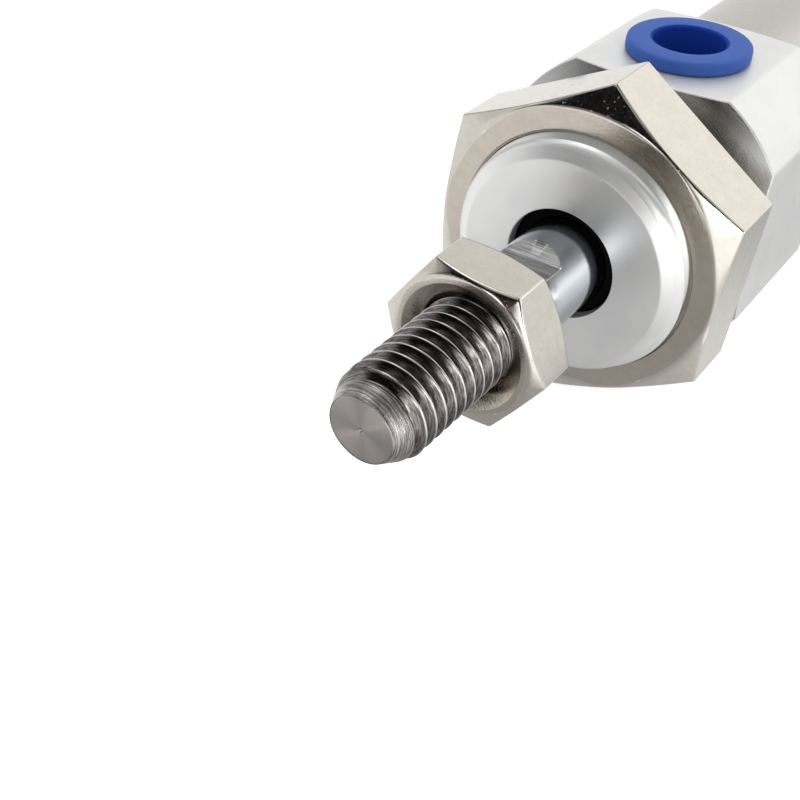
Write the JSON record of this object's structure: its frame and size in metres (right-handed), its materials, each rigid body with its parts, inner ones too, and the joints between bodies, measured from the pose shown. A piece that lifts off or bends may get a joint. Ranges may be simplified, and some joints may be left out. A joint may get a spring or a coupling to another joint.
{
  "type": "pneumatic cylinder",
  "caption": "Double-acting pneumatic cylinder with threaded nose, threaded rod end, side ports and a rear pivot lug.",
  "frame": {"origin": "on the cylinder's axis, in the plane of the front cover's shoulder", "axes": "+X along the axis towards the tip of the rod, +Z out of both ports, +Y to the side along the rear pivot hole"},
  "size_m": [0.181, 0.028, 0.031],
  "materials": {
    "aluminium": "silver anodised, satin, with turned faces on the nose",
    "stainless": "drawn stainless tube, fine lengthwise lines",
    "nickel": "nickel plated steel, warm satin, bright chamfers",
    "chrome_rod": "hard chromed ground steel, bare turned tip",
    "bronze": "sintered bronze, dull",
    "rubber": "black moulded rubber, matt",
    "magnet": "sintered ferrite, matt",
    "acetal": "natural acetal",
    "blue_plastic": "moulded polyethylene, soft sheen"
  },
  "bodies": {
    "cylinder_body": {"barrel_tube": "stainless", "front_cover": "aluminium", "rear_cover": "aluminium", "rod_bush": "bronze", "rod_wiper_seal": "rubber", "front_cover_o_ring": "rubber", "rear_cover_o_ring": "rubber", "front_bumper": "rubber", "rear_bumper": "rubber"},
    "piston_seals": {"piston_seal_front": "rubber", "piston_seal_rear": "rubber", "wear_ring": "acetal"},
    "rod_assembly": {"piston_rod": "chrome_rod", "piston_front_half": "aluminium", "piston_rear_half": "aluminium", "magnet_ring": "magnet", "piston_o_ring": "rubber", "piston_lock_nut": "nickel"},
    "rod_lock_nut": {"rod_nut": "nickel"},
    "nose_nut": {"mounting_nut": "nickel"},
    "front_plug": {"front_port_plug": "blue_plastic"},
    "rear_plug": {"rear_port_plug": "blue_plastic"}
  },
  "joints": [
    {"name": "rod_slide", "type": "slide", "parent": "cylinder_body", "child": "piston_seals", "axis": [1, 0, 0], "range_m": [0, 0.05]},
    {"name": "rod_spin", "type": "hinge", "parent": "piston_seals", "child": "rod_assembly", "pos_m": [0, 0, 0], "axis": [1, 0, 0], "continuous": true},
    {"name": "rod_nut_travel", "type": "slide", "parent": "rod_assembly", "child": "rod_lock_nut", "axis": [1, 0, 0], "range_m": [-0.00125, 0.0125]},
    {"name": "mounting_nut_travel", "type": "slide", "parent": "cylinder_body", "child": "nose_nut", "axis": [1, 0, 0], "range_m": [-0.0015, 0.0015]},
    {"name": "front_plug_pull", "type": "slide", "parent": "cylinder_body", "child": "front_plug", "axis": [0, 0, 1], "range_m": [0, 0.012]},
    {"name": "rear_plug_pull", "type": "slide", "parent": "cylinder_body", "child": "rear_plug", "axis": [0, 0, 1], "range_m": [0, 0.012]}
  ]
}
